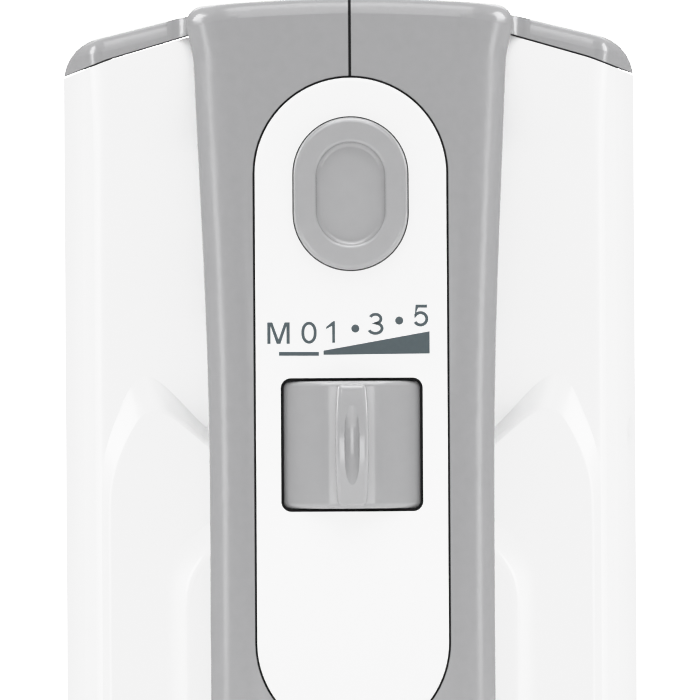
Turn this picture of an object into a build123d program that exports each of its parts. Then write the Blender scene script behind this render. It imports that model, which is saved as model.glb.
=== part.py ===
from build123d import *
import math
import os

# Hand mixer with two beaters, standing on its heel with the handle upright.
# Frame: +Z from the heel to the nose, X across, the handle towards -Y, the beaters
# towards +Y. The motor turns about the Z axis, and Z = 0 is the face it stands on.
# All sizes are in millimetres.

# ---- Motor housing ----
half_width = 45.15         # centre line to flank, where the housing is widest
deck_inset = 5.5           # the flanks lean in by this much at the deck, below the handle
under_inset = 8.2          # and by this much at the underside, where the beaters come out
deck_y = -24.0             # level of the deck
under_y = 40.0             # level of the underside
widest_from = -8.0         # the flanks stand straight between these two levels
widest_to = 14.0
flank_round = 55.0
flank_cut = 0.3            # the flank's bulge, cut off flat
deck_round = 3.0           # round edge between the deck and what it meets
deck_lean = 4.0            # the deck falls away by this much at the tip of the nose
deck_lean_length = 16.0    # over this length
under_round = 8.0
nose_z = 199.0             # tip of the nose on the centre line
shoulder_x = 25.6          # the nose slopes back beyond this half width
shoulder_drop = 1.5
nose_slope = 0.245
nose_round = 7.0
shoulder_round = 25.0
tip_round = 60.0
chin_drop = 15.0           # how far the nose recedes at the underside
chin_depth = 26.0
chin_round = 12.0
chin_blend = 30.0
heel_round = 14.0
heel_edge = 9.0
lean_round = 60.0          # the deck bends this gently where it starts to fall away
wall = 2.2                 # wall of the housing halves
rib_width = 2.0
seam = 0.45                # shadow gap between left and right halves
parting_drop = 3.1         # the grey nose begins this far behind the shoulder
parting_slope = 0.29
parting_bend_x = 38.0      # and turns down more steeply from here
parting_side_slope = 0.386
parting_gap = 0.3

# ---- Motor hump: two tiers on the deck, each with a steep riser ----
# A level of the hump is its side's distance in from the deck's edge, then from its crest
# the way in from that side, the way back from the nose, the run down to the straight side
# and the dip to the middle.
first_foot = (0.25, 6.3, 58.5, 25.5, 13.5)
first_top = (1.55, 6.7, 63.9, 21.8, 9.5)
second_foot = (10.15, 11.5, 80.0, 14.5, 3.0)
second_top = (13.55, 8.1, 83.5, 12.7, 2.0)
first_rise = 4.0           # height of each tier
second_rise = 8.0
tier_heel_gap = (4.0, 6.0, 11.0, 14.0)     # from the heel to the end of each level
tier_corner = 9.0
first_edge = 0.9           # round top edge of each tier
second_edge = 1.5
tier_root = 6.0            # how far the hump's foot reaches down into the deck

# ---- Handle, front column and heel column in one ring ----
grip_half = 22.15
column_half = 24.35        # half width of the column below the nose
nose_flare = 1.3           # and how much wider it is where it runs into the nose
flare_back = 8.5           # from the nose to the start of that flare
flare_length = 6.0
grip_bend_back = 58.5      # the handle widens forward of here, measured from the nose
grip_bend_low = 55.0       # and widens again below here, above the heel
grip_bend_round = 300.0
flare_round = 12.0
heel_half = 24.0
arch_radius = 600.0        # long arch of the handle's back
arch_y = -102.0            # its highest point
crest_back = 68.7          # from the nose to there
grip_depth = 34.0
ring_wall = 2.5
ring_round = 7.0
front_round = 2.8          # round edge of the column's top
crown_radius = 240.0       # the column's top is slightly bowed across
crown_lift = 0.8           # and stands this much above the nose
column_root = 3.0          # hollow round between the column and the grey nose
heel_back = 84.0           # the ring's back at the heel, from the motor axis
heel_bulge = 11.0          # and how much further back it reaches where it meets the arch
heel_bend = 33.0           # at this height above the heel
heel_corner = 8.0
heel_curve = 28.0
ring_root = 14.0           # how far the columns reach down into the housing
loop_low = 42.0            # finger opening, from here
column_back = 50.0         # to the back of the front column, measured from the nose
loop_round = 15.0

# ---- Heel pad ----
pad_thickness = 3.0
pad_half = 27.0
pad_front = 33.0
pad_round = 12.0

# ---- Control panel ----
panel_width = 29.75
panel_length = 102.7
panel_back = 11.7          # from the nose
panel_thickness = 1.8
panel_proud = 0.6
panel_gap = 0.35
panel_rim = 0.5
panel_ledge = 2.6

# ---- Speed key ----
key_radius = 18.5
key_back = 68.7            # from the nose to the middle of the key
key_length = 19.8          # along the handle
key_window = 21.1          # width seen in the panel
key_gap = 0.5
key_window_round = 1.6
key_proud = 2.2            # the drum stands out of the panel, and the panel is relieved behind
key_shell = 2.2
key_cheek = 2.0
key_hub = 4.0
key_travel = 24.0          # degrees each way
key_rib = 5.2              # the rib's width at its middle
key_rib_waist = 0.35       # and how far each side draws in at its ends
key_rib_height = 2.6
key_rib_fall = 1.2         # the rib is lower by this much at its ends
key_rib_round = 0.8
key_edge = 0.8             # round edge at the drum's two ends
key_end = 0.5              # the rib stops this far short of the drum's ends
key_dimple = 1.2           # radius of the hollow for the thumb along the rib
key_dimple_depth = 1.0
key_dimple_length = 12.4
pin_radius = 2.0
fit = 0.05                 # radial clearance of every running fit
bracket = 2.0
switch_half = 9.0

# ---- Eject button ----
button_width = 18.1
button_length = 24.1
button_back = 29.7         # from the nose
button_gap = 0.2
button_proud = 1.2
button_wall = 2.4
button_rim = 0.7
dish_width = 10.7
dish_length = 16.0
dish_depth = 1.2
dish_lip = 0.45            # round edges where the dish begins and at its floor
dish_floor_round = 0.65
stem_radius = 3.5
stem_collar = 6.2
collar_y = -41.0
collar_thickness = 2.0
guide_y = -52.0
eject_travel = 6.0
crossbar_thickness = 3.0
crossbar_width = 10.0
pusher_radius = 2.4
slack = 0.3                # gap that parts keep from what they push or carry

# ---- Worm drive ----
module = 1.0
starts = 2
teeth = 30
worm_pitch_radius = 4.5
addendum = 0.9
dedendum = 1.2
pressure_angle = 20.0
backlash = 0.16
worm_length = 24.0
drive_back = 34.0          # from the nose to the wheels' axes
gear_face = 8.0
gear_hub = 8.0
journal = 6.0
journal_length = 3.0
nose_journal = 8.0
wing_slot = 1.8
wing_depth = 3.0
gear_room = 6.3            # half height of the gear case inside
case_floor = 3.0
case_wall = 2.2
tip_gap = 1.0

# ---- Motor ----
shaft_radius = 3.0
shaft_tail = 7.0           # beyond the bracket
armature_radius = 14.0
armature_back = 73.0       # from the wheels' axes to the armature
armature_length = 32.0
armature_slots = 12
slot_width = 1.6
slot_depth = 2.5
air_gap = 0.6
stator_half_x = 25.0
stator_half_y = 22.0
stator_round = 6.0
coil_window_in = 13.0
coil_window_out = 20.6
coil_window_half = 13.8
coil_thickness = 4.6
coil_overhang = 6.5
winding_length = 7.0
winding_radius = 12.4
commutator_radius = 9.0
commutator_length = 10.0
fan_back = 63.0            # from the wheels' axes
fan_radius = 20.5
fan_height = 8.0
fan_blades = 9
bush_radius = 5.5
bush_length = 5.0
brush = 5.0
brush_holder_wall = 1.4
bracket_back = 22.0        # from the armature to the bracket's rear face
bracket_thickness = 4.0
bracket_half_y = 9.0

# ---- Beaters ----
beater_shaft = 3.0
shaft_top = -4.0
basket_top = 92.0
basket_end = 175.0
basket_radius = 22.3
wire_radius = 1.25
tip_radius = 4.2
collar_small = 6.5
collar_large = 9.5
wing_reach = 4.6
socket_radius = 8.0
socket_bore = 6.5
socket_flange = 9.8
socket_flange_thickness = 2.0

# ---- Screws, vents and cord inlet ----
screw_radius = 1.4
screw_head = 2.8
screw_head_height = 2.2
screw_seat = 8.0
screw_reach = 8.0
boss_radius = 4.0
vent_width = 2.0
vent_length = 28.0
vent_taper = 2.0           # each slot is this much shorter than the one towards the middle
vent_pitch = 4.2
vent_count = 7
vent_z = 16.0
exhaust_count = 5
gland_radius = 6.0
gland_bore = 3.4
gland_z = 20.0
gland_reach = 4.0

# ---- Worked out from the sizes above ----
heel_z = pad_thickness
deck_half = half_width - deck_inset
under_half = half_width - under_inset
hump_y = deck_y - first_rise - second_rise
column_wide = column_half + nose_flare
arch_z = nose_z - crest_back
loop_high = nose_z - column_back
panel_top_z = nose_z - panel_back
key_z = nose_z - key_back
button_z = nose_z - button_back
drive_z = nose_z - drive_back
armature_high = drive_z - armature_back
armature_low = armature_high - armature_length
commutator_high = armature_low - winding_length
commutator_low = commutator_high - commutator_length
bracket_z = armature_low - bracket_back
shaft_end = bracket_z - shaft_tail
fan_z = drive_z - fan_back
exhaust_z = fan_z - 4
housing_screws = [(under_y - 11, heel_z + 21), (under_y - 11, fan_z + 20), (under_y - 17, nose_z - 15),
                  (widest_from - 1, drive_z - 34)]
ring_screws = [(deck_y - 18, nose_z - 11), (arch_y + 18, nose_z - 101), (deck_y - 26, heel_z + 17)]
pitch = math.pi * module
lead = starts * pitch
wheel_pitch_radius = module * teeth / 2
beater_x = wheel_pitch_radius + worm_pitch_radius
case_radius = wheel_pitch_radius + addendum + tip_gap
thrust_z = drive_z + case_radius
key_axis_y = arch_y - panel_proud - key_proud + key_radius
button_skirt = eject_travel + 4.0
bar_y = deck_y + wall + slack + 0.2
bore_radius = beater_shaft + fit
seat_gap = 0.15
far = 400.0
wide_x = 60.0              # beyond the flanks


# ---------------------------------------------------------------- helpers
def rounded(points, radii):
    """Closed outline of straight runs, with a true arc at each corner that has a radius."""
    corners = []
    for index, radius in enumerate(radii):
        here = Vector(*points[index])
        if radius <= 0:
            corners.append((here, None, here))
            continue
        back = (Vector(*points[index - 1]) - here).normalized()
        ahead = (Vector(*points[(index + 1) % len(points)]) - here).normalized()
        half = math.acos(max(-1.0, min(1.0, back.dot(ahead)))) / 2
        reach = radius / math.tan(half)
        inward = (back + ahead).normalized()
        middle = here + inward * (radius / math.sin(half) - radius)
        corners.append((here + back * reach, middle, here + ahead * reach))
    edges = []
    for index, (start, middle, end) in enumerate(corners):
        if middle is not None:
            edges.append(ThreePointArc(start, middle, end))
        following = corners[(index + 1) % len(corners)][0]
        if (following - end).length > 1e-6:
            edges.append(Line(end, following))
    return make_face(Wire(edges))


def along_x(outline, start, end):
    """Extrude an outline drawn in (Y, Z)."""
    return extrude(Plane(origin=(start, 0, 0), x_dir=(0, 1, 0), z_dir=(1, 0, 0)) * outline, end - start)


def along_y(outline, start, end):
    """Extrude an outline drawn in (X, Z)."""
    return extrude(Plane(origin=(0, end, 0), x_dir=(1, 0, 0), z_dir=(0, -1, 0)) * outline, end - start)


def along_z(outline, start, end):
    """Extrude an outline drawn in (X, Y)."""
    return extrude(Plane(origin=(0, 0, start), x_dir=(1, 0, 0), z_dir=(0, 0, 1)) * outline, end - start)


def rod_x(y, z, radius, start, end):
    return along_x(Pos(y, z) * Circle(radius), start, end)


def rod_y(x, z, radius, start, end):
    return along_y(Pos(x, z) * Circle(radius), start, end)


def rod_z(radius, start, end, x=0.0, y=0.0):
    return along_z(Pos(x, y) * Circle(radius), start, end)


def block(x0, x1, y0, y1, z0, z1):
    return Pos((x0 + x1) / 2, (y0 + y1) / 2, (z0 + z1) / 2) * Box(x1 - x0, y1 - y0, z1 - z0)


def stadium(width, length, z):
    """Upright stadium in (X, Z)."""
    return Pos(0, z) * Rot(0, 0, 90) * SlotOverall(length, width)


def half_of(solid, side, gap=seam):
    """The left (side -1) or right (side +1) half, back from the seam."""
    return solid & block(*sorted((side * gap / 2, side * far)), -far, far, -far, far)


def polar(radius, angle):
    return (radius * math.cos(angle), radius * math.sin(angle))


# ---------------------------------------------------------------- outer forms
def housing_plan(inset):
    """The housing seen along the handle, drawn in (X, Z): square heel, bowed nose."""
    wide = half_width - inset
    corner_z = nose_z - shoulder_drop - nose_slope * (half_width - shoulder_x) - inset
    shoulder_z = nose_z - shoulder_drop - inset
    right = [(wide, heel_z + inset), (wide, corner_z), (shoulder_x, shoulder_z)]
    left = [(-x, z) for x, z in reversed(right)]
    bends = [heel_round - inset, nose_round - inset / 2, shoulder_round]
    return rounded(right + [(0, nose_z - inset)] + left, bends + [tip_round] + bends[::-1])


def housing_form(inset):
    """The motor housing without its hump: plan, section and side view intersected."""
    wide = half_width + flank_cut - inset
    low = heel_z + inset
    deck = deck_y + inset
    under = under_y - inset
    section = rounded(
        [(-deck_half + inset, deck), (deck_half - inset, deck), (wide, widest_from),
         (wide, widest_to), (under_half - inset, under), (-under_half + inset, under),
         (-wide, widest_to), (-wide, widest_from)],
        [0, 0, flank_round, flank_round,
         under_round - inset, under_round - inset, flank_round, flank_round])
    side = rounded(
        [(deck, low), (under, low), (under, nose_z - chin_drop - inset),
         (under_y - chin_depth, nose_z + 1 - inset), (deck + deck_lean, nose_z + 1 - inset),
         (deck, nose_z - deck_lean_length)],
        [0, heel_edge - inset, chin_round, chin_blend, 0, lean_round])
    solid = along_y(housing_plan(inset), -far, far) & along_z(section, 0, far)
    solid &= along_x(side, -far, far)
    rim = [edge for edge in solid.edges() if edge.center().Y < deck_y + deck_lean + 1.5
           and not (abs(edge.center().X) < 1 and edge.length > half_width)]
    return fillet(rim, deck_round - inset) if deck_round > inset + 0.1 else solid


def tier_outline(level, end_z, y, inset):
    """One level of the hump: two shoulders with a saddle between them, drawn in (X, Z)."""
    side_in, crest_in, crest_back_by, run, saddle = level
    half = deck_half - side_in - inset
    crest_z = nose_z - crest_back_by - inset
    crest_x = half - crest_in
    low = end_z + inset
    corner = tier_corner - inset
    turn = corner * (1 - math.sqrt(0.5))
    crown = [Spline([(0, crest_z - saddle), (crest_x * 0.7, crest_z - saddle * 0.57), (crest_x, crest_z),
                     (half - crest_in * 0.3, crest_z - run * 0.3), (half, crest_z - run)],
                    tangents=[(1, 0), (0, -1)]),
             Line((half, crest_z - run), (half, low + corner)),
             ThreePointArc((half, low + corner), (half - turn, low + turn), (half - corner, low)),
             Line((half - corner, low), (0, low))]
    right = make_face(Wire(crown + [Line((0, low), (0, crest_z - saddle))]))
    level_plane = Plane(origin=(0, y + inset, 0), x_dir=(1, 0, 0), z_dir=(0, -1, 0))
    return level_plane * (right + mirror(right, Plane.YZ))


def tier(foot, top, ends, y, rise, edge_round, inset):
    """One tier of the hump, rooted in what it stands on, with its top edge rounded."""
    base = tier_outline(foot, heel_z + ends[0], y, inset)
    crown = tier_outline(top, heel_z + ends[1], y - rise, inset)
    solid = loft([base.face(), crown.face()], ruled=True)
    if not inset:
        solid = fillet(solid.edges().group_by(Axis.Y)[0], edge_round)
    return solid + extrude(base, -tier_root)


def hump_form(inset):
    lower = tier(first_foot, first_top, tier_heel_gap[:2], deck_y, first_rise, first_edge, inset)
    return lower + tier(second_foot, second_top, tier_heel_gap[2:], deck_y - first_rise, second_rise,
                        second_edge, inset)


def body_form(inset):
    return housing_form(inset) + hump_form(inset)


def arch_disc(radius):
    """Everything below the handle's long arch, drawn in (Y, Z)."""
    return Pos(arch_y + arch_radius, arch_z) * Circle(radius)


def arch_level(z, radius):
    """Y of the arch's surface at a height along the handle."""
    return arch_y + arch_radius - math.sqrt(radius ** 2 - (z - arch_z) ** 2)


def ring_side(inset):
    """Side view of the ring: heel column, grip and front column round the finger opening."""
    base = deck_y + ring_root
    under = arch_y + grip_depth
    beyond = arch_y - 20
    outline = rounded(
        [(base, heel_z), (-heel_back, heel_z), (-heel_back - heel_bulge, heel_z + heel_bend),
         (beyond, heel_z + grip_bend_low), (beyond, nose_z + 1), (base, nose_z + 1)],
        [0, heel_corner, heel_curve, 0, 0, 0]) & arch_disc(arch_radius)
    opening = rounded(
        [(base + 1, loop_low), (under - 1.5, loop_low), (under, arch_z - 40), (under, loop_high + 2),
         (base + 1, loop_high - 6)],
        [0, loop_round, 0, loop_round + 4, 0])
    outline = outline - opening
    return offset(outline, -inset, kind=Kind.INTERSECTION) if inset else outline


def ring_front(inset):
    """Front view of the ring: slim grip, wider at nose and heel, with a bowed top.

    Only the outside flares into the nose; the hollow runs up straight.
    """
    wide = column_half if inset else column_wide
    lean = math.asin((wide - front_round) / crown_radius)
    apex = nose_z + crown_lift - crown_radius + crown_radius / math.cos(lean)
    flare = nose_z - flare_back
    right = [(heel_half, heel_z), (grip_half, heel_z + grip_bend_low),
             (grip_half, nose_z - grip_bend_back)]
    bends = [0, grip_bend_round, grip_bend_round * 3]
    if not inset:
        right += [(column_half, flare), (column_wide, flare + flare_length)]
        bends += [flare_round, flare_round]
    right.append((wide, apex - wide * math.tan(lean)))
    bends.append(0)
    left = [(-x, z) for x, z in reversed(right)]
    outline = rounded(right + [(0, apex)] + left, bends + [crown_radius] + bends[::-1])
    return offset(outline, -inset, kind=Kind.INTERSECTION) if inset else outline


def ring_form(inset):
    """The ring as a solid, with its long edges and the rim of its top rounded in turn."""
    solid = along_x(ring_side(inset), -wide_x, wide_x) & along_y(ring_front(inset), -far, 0)

    def chosen(test):
        return [edge for edge in solid.edges() if test(edge.center(), edge.bounding_box().size)]

    def lengthwise(size):
        return size.X < 6 and max(size.Y, size.Z) > 1

    under = arch_y + grip_depth
    back = arch_y + 12
    arch = chosen(lambda at, size: at.Y < back + inset and at.Z > heel_z + 29 and lengthwise(size))
    solid = fillet(arch, ring_round + 1 - inset)
    loop = chosen(lambda at, size: under - 2 - inset < at.Y < hump_y
                  and loop_low - inset < at.Z < loop_high + inset and lengthwise(size))
    solid = fillet(loop, ring_round - inset)
    if front_round > inset + 0.1:
        top = chosen(lambda at, size: at.Y < deck_y and at.Z > nose_z - 1.3 - inset)
        solid = fillet(top, front_round - inset)
    return solid


def nose_region(gap=0.0):
    """The grey nose: everything in front of the parting line, drawn in (X, Z)."""
    start = nose_z - shoulder_drop - parting_drop - gap
    bend = start - parting_slope * (parting_bend_x - shoulder_x)
    edge = bend - parting_side_slope * (wide_x - parting_bend_x)
    right = [(shoulder_x, start), (parting_bend_x, bend), (wide_x, edge), (wide_x, far)]
    left = [(-x, z) for x, z in reversed(right)]
    bends = [0, 20, 0, 0]
    return along_y(rounded(right + left, bends + bends[::-1]), -far / 2, far / 2)


def nose_root(side):
    """Hollow round where the column's side runs into the nose's leaning face."""
    middle = (side * (column_wide + column_root), deck_y - column_root)
    inner = side * (column_wide - 1)
    x0, x1 = sorted((inner, middle[0]))
    section = Pos((x0 + x1) / 2, deck_y - column_root / 2 + 0.5) * Rectangle(x1 - x0, column_root + 1)
    section -= Pos(*middle) * Circle(column_root)
    start = nose_z - deck_lean_length
    reach = deck_lean_length + 1
    lean = Vector(0, deck_lean, reach)
    return extrude(Pos(0, 0, start) * section, amount=lean.length, dir=lean)


# ---------------------------------------------------------------- screws and their bosses
def screw_boss(y, z, side):
    start, end = sorted((side * seam / 2, side * wide_x))
    return rod_x(y, z, boss_radius, start, end)


def screw_hole(y, z, side):
    if side < 0:
        return rod_x(y, z, screw_radius, -screw_reach - 1, 0)
    return (rod_x(y, z, screw_radius + slack / 2, 0, screw_seat)
            + rod_x(y, z, screw_head + slack, screw_seat, wide_x))


def make_screw(y, z):
    head = rod_x(y, z, screw_head, screw_seat, screw_seat + screw_head_height)
    head = fillet(head.edges().sort_by(Axis.X)[-1], 0.6)
    cross = (block(screw_seat + 1, screw_seat + 5, y - 0.4, y + 0.4, z - 1.7, z + 1.7)
             + block(screw_seat + 1, screw_seat + 5, y - 1.7, y + 1.7, z - 0.4, z + 0.4))
    return head - cross + rod_x(y, z, screw_radius, -screw_reach, screw_seat)


# ---------------------------------------------------------------- white housing halves
def vents():
    """Air inlets on the flanks and outlets below the fan, longest in the middle of each field."""
    def slot(index, count):
        return SlotOverall(vent_length - vent_taper * abs(index - (count - 1) / 2), vent_width)

    cuts = []
    for index in range(vent_count):
        placed = Pos((widest_from + widest_to) / 2, vent_z + index * vent_pitch) * slot(index, vent_count)
        cuts.append(along_x(placed, half_width - 12, wide_x))
        cuts.append(along_x(placed, -wide_x, 12 - half_width))
    for index in range(exhaust_count):
        placed = Pos(0, exhaust_z + index * vent_pitch) * slot(index, exhaust_count)
        cuts.append(along_y(placed, under_y - 5, under_y + 5))
    return cuts


def motor_ribs(inner):
    """Two ribs that carry the stator and one that carries the gear case."""
    stator = along_z(stator_outline(seat_gap), armature_low - 1, armature_high + 1)
    ribs = []
    for level in (armature_low + 3, armature_high - 5):
        rib = inner & block(-wide_x, wide_x, deck_y + 5, under_y, level, level + rib_width)
        ribs.append(rib - stator)
    case = along_y(case_outline(case_wall + seat_gap), -gear_room - case_floor - seat_gap,
                   gear_room + case_floor + seat_gap)
    for level in (drive_z - 12, drive_z + 10):
        rib = inner & block(-wide_x, wide_x, -gear_room, under_y, level, level + rib_width)
        ribs.append(rib - case)
    return ribs


def make_housing():
    inner = body_form(wall)
    shell = body_form(0) - inner
    ribs = motor_ribs(inner)
    for rib in ribs:
        shell += rib
    shell -= nose_region(parting_gap)
    for x in (-beater_x, beater_x):
        shell -= rod_y(x, drive_z, socket_radius, gear_room + case_floor, under_y + 1)
    shell -= rod_y(0, button_z, stem_radius + 0.1, deck_y - 1, deck_y + wall + 1)
    shell -= rod_y(0, gland_z, 4.0, hump_y - 1, deck_y + 6)
    for cut in vents():
        shell -= cut
    within = body_form(wall / 2)
    halves = []
    for side in (-1, 1):
        half = half_of(shell, side)
        for y, z in housing_screws:
            half += screw_boss(y, z, side) & within
        for y, z in housing_screws:
            half -= screw_hole(y, z, side)
        halves.append(half)
    return halves


# ---------------------------------------------------------------- grey ring halves
def key_clearance():
    """Room for the drum where it passes under the panel's lip."""
    length = key_length / 2 + key_gap
    return rod_z(key_radius + slack, key_z - length, key_z + length, 0, key_axis_y) & block(
        -wide_x, wide_x, -far, key_axis_y - 8, 0, far)


def panel_outline(grow):
    return stadium(panel_width + 2 * grow, panel_length + 2 * grow, panel_top_z - panel_length / 2)


def arch_band(outer, inner):
    """Band that follows the handle's arch between two radii."""
    return along_x(arch_disc(outer) - arch_disc(inner), -wide_x, wide_x)


def make_ring():
    hollow = ring_form(ring_wall)
    shell = ring_form(0) - hollow
    seat = arch_radius + panel_proud - panel_thickness
    pocket = along_y(panel_outline(panel_gap), -far / 2, arch_y + 30) & arch_band(arch_radius + 5, seat)
    opening = along_y(panel_outline(-panel_ledge), -far / 2, arch_y + 12)
    shell -= pocket
    shell -= opening
    low = key_z - key_length / 2 - key_gap - bracket
    high = key_z + key_length / 2 + key_gap
    shell -= key_clearance()
    for level in (low, high):
        rib = hollow & block(-wide_x, wide_x, key_axis_y - 6, key_axis_y + 20, level, level + bracket)
        shell += rib
    shell -= rod_z(pin_radius, low - 1, high + bracket + 1, 0, key_axis_y)
    guide = hollow & block(-wide_x, wide_x, guide_y, guide_y + bracket, loop_high - 10, far)
    shell += guide - rod_y(0, button_z, stem_radius + 0.1, guide_y - 1, guide_y + bracket + 1)
    body = body_form(0)
    nose = (body - body_form(wall)) & nose_region()
    shell += nose
    for side in (-1, 1):
        shell += nose_root(side) & nose_region() & along_y(housing_plan(0), -far, far)
    shell -= body - nose_region()
    shell -= rod_y(0, gland_z, gland_radius, -far / 2, -heel_back + 6)
    halves = []
    within = ring_form(ring_wall / 2)
    for side in (-1, 1):
        half = half_of(shell, side)
        for y, z in ring_screws:
            half += screw_boss(y, z, side) & within
        for y, z in ring_screws:
            half -= screw_hole(y, z, side)
        halves.append(half)
    return halves


# ---------------------------------------------------------------- heel pad, panel, key
def make_heel_pad():
    length = heel_back - 8 + pad_front
    pad = Pos(0, pad_front - length / 2, pad_thickness / 2) * Box(2 * pad_half, length, pad_thickness)
    pad = fillet(pad.edges().filter_by(Axis.Z), pad_round)
    return chamfer(pad.edges().group_by(Axis.Z)[0], 0.8)


def key_opening(grow):
    width = key_window + 2 * key_gap + 2 * grow
    length = key_length + 2 * key_gap + 2 * grow
    return Pos(0, key_z) * RectangleRounded(width, length, key_window_round)


def make_panel():
    outer = arch_radius + panel_proud
    panel = along_y(panel_outline(0), -far / 2, arch_y + 30) & arch_band(outer, outer - panel_thickness)
    skin = [edge for edge in panel.edges()
            if edge.center().Y < arch_level(edge.center().Z, outer) + 0.2]
    panel = fillet(skin, panel_rim)
    panel -= along_y(key_opening(0), -far / 2, arch_y + 30)
    panel -= along_y(stadium(button_width, button_length, button_z), -far / 2, arch_y + 30)
    return panel - key_clearance()


def sector(radius, half_angle):
    """Slice of a disc about the key's axis, drawn in (X, Y), opening towards -Y."""
    tip = (0, key_axis_y)
    left = (-radius * math.sin(half_angle), key_axis_y - radius * math.cos(half_angle))
    right = (-left[0], left[1])
    rim = ThreePointArc(left, (0, key_axis_y - radius), right)
    return make_face(Wire([Line(tip, left), rim, Line(right, tip)]))


def make_key_rib():
    """Thumb rib along the drum: bowed in side view, barrel-shaped in plan, with a hollow."""
    crest = key_axis_y - key_radius
    half = key_length / 2 - key_end
    bow = (half ** 2 + key_rib_fall ** 2) / (2 * key_rib_fall)
    middle = key_rib / 2
    end = middle - key_rib_waist
    plan = make_face(Wire([
        ThreePointArc((end, key_z - half), (middle, key_z), (end, key_z + half)),
        Line((end, key_z + half), (-end, key_z + half)),
        ThreePointArc((-end, key_z + half), (-middle, key_z), (-end, key_z - half)),
        Line((-end, key_z - half), (end, key_z - half))]))
    top = crest - key_rib_height
    rib = along_x(Pos(top + bow, key_z) * Circle(bow), -key_rib, key_rib)
    rib &= along_y(plan, top - 1, crest + 1.2)
    edges = rib.edges().filter_by(Axis.Y) + rib.faces().sort_by(Axis.Y)[0].edges()
    rib = fillet(edges, key_rib_round)
    curve = 8 * key_dimple_depth / key_dimple_length ** 2 - 1 / bow
    sweep_radius = 1 / curve - key_dimple
    middle_y = top + key_dimple_depth - key_dimple - sweep_radius
    return rib - Pos(0, middle_y, key_z) * Rot(0, 90, 0) * Torus(sweep_radius, key_dimple)


def make_key():
    """Drum segment with two cheeks on a hub, and a rib for the thumb."""
    low = key_z - key_length / 2
    high = key_z + key_length / 2
    reach = math.asin((key_window / 2 + key_gap) / key_radius) + math.radians(key_travel)
    shell = sector(key_radius, reach) - Pos(0, key_axis_y) * Circle(key_radius - key_shell)
    key = along_z(shell, low, high)
    ends = [edge for edge in key.edges() if edge.geom_type == GeomType.CIRCLE
            and (edge @ 0.5 - Vector(0, key_axis_y, (edge @ 0.5).Z)).length > key_radius - 0.1]
    key = fillet(ends, key_edge)
    cheek = sector(key_radius - key_shell + 0.5, reach * 0.55) + Pos(0, key_axis_y) * Circle(key_hub)
    key += along_z(cheek, low, low + key_cheek)
    key += along_z(cheek, high - key_cheek, high)
    key += make_key_rib()
    return key - rod_z(pin_radius + fit, low - 1, high + 1, 0, key_axis_y)


def make_key_pin():
    reach = key_length / 2 + key_gap + bracket
    return rod_z(pin_radius, key_z - reach, key_z + reach, 0, key_axis_y)


def make_speed_switch():
    """Switch block below the key, on the floor of the grip."""
    floor = arch_y + grip_depth - ring_wall - slack
    top = key_axis_y + key_hub + 2
    body = block(-switch_half, switch_half, top, floor, key_z - switch_half, key_z + switch_half)
    body = fillet(body.edges().filter_by(Axis.Y), 1.0)
    for z in (key_z - 6, key_z, key_z + 6):
        body += block(-1.2, 1.2, top - 1.2, top, z - 1, z + 1)
    return body


# ---------------------------------------------------------------- ejector
def make_button():
    """Cap that follows the arch, with a skirt and a dish, on a stem that reaches the crossbar."""
    outer = arch_radius + panel_proud + button_proud

    def below(point):
        return point.Y - arch_level(point.Z, outer)

    top = arch_level(button_z, outer)
    width = button_width - 2 * button_gap
    length = button_length - 2 * button_gap
    cap = along_y(stadium(width, length, button_z), -far / 2, top + button_skirt)
    cap &= along_x(arch_disc(outer), -wide_x, wide_x)
    cap = fillet([edge for edge in cap.edges() if below(edge.center()) < 2], button_rim)
    hollow = stadium(width - 2 * button_wall, length - 2 * button_wall, button_z)
    cap -= along_y(hollow, top + 3, top + button_skirt + 1)
    dish = along_y(stadium(dish_width, dish_length, button_z), -far / 2, top + 5)
    dish &= arch_band(outer + 1, outer - dish_depth)
    cap -= fillet([edge for edge in dish.edges() if below(edge.center()) > dish_depth / 2], dish_floor_round)
    cap = fillet([edge for edge in cap.edges() if below(edge.center()) < 0.2
                  and abs(edge.center().X) < dish_width / 2 + 0.1
                  and abs(edge.center().Z - button_z) < dish_length / 2 + 0.1], dish_lip)
    stem = rod_y(0, button_z, stem_radius, top + 2.5, bar_y)
    collar = rod_y(0, button_z, stem_collar, collar_y - collar_thickness, collar_y)
    return cap + stem + collar


def make_crossbar():
    """Bar inside the housing with one pusher over each beater shaft."""
    bar = along_y(Pos(0, drive_z) * SlotOverall(2 * beater_x + crossbar_width, crossbar_width), bar_y,
                  bar_y + crossbar_thickness)
    bar += rod_y(0, button_z, crossbar_width / 2 + 0.8, bar_y, bar_y + crossbar_thickness)
    for x in (-beater_x, beater_x):
        bar += rod_y(x, drive_z, pusher_radius, bar_y + crossbar_thickness, shaft_top - slack)
    return bar


def make_spring():
    """Return spring round the stem, between its collar and the deck."""
    turns = 4
    low = collar_y + slack
    high = deck_y - slack
    radius = stem_radius + 1.3
    path = Helix((high - low - 1.2) / turns, high - low - 1.2, radius)
    start = Plane(origin=path @ 0, z_dir=path % 0)
    coil = sweep(start * Circle(0.5), path=path)
    return Pos(0, low + 0.6, button_z) * Rot(-90, 0, 0) * coil


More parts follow.
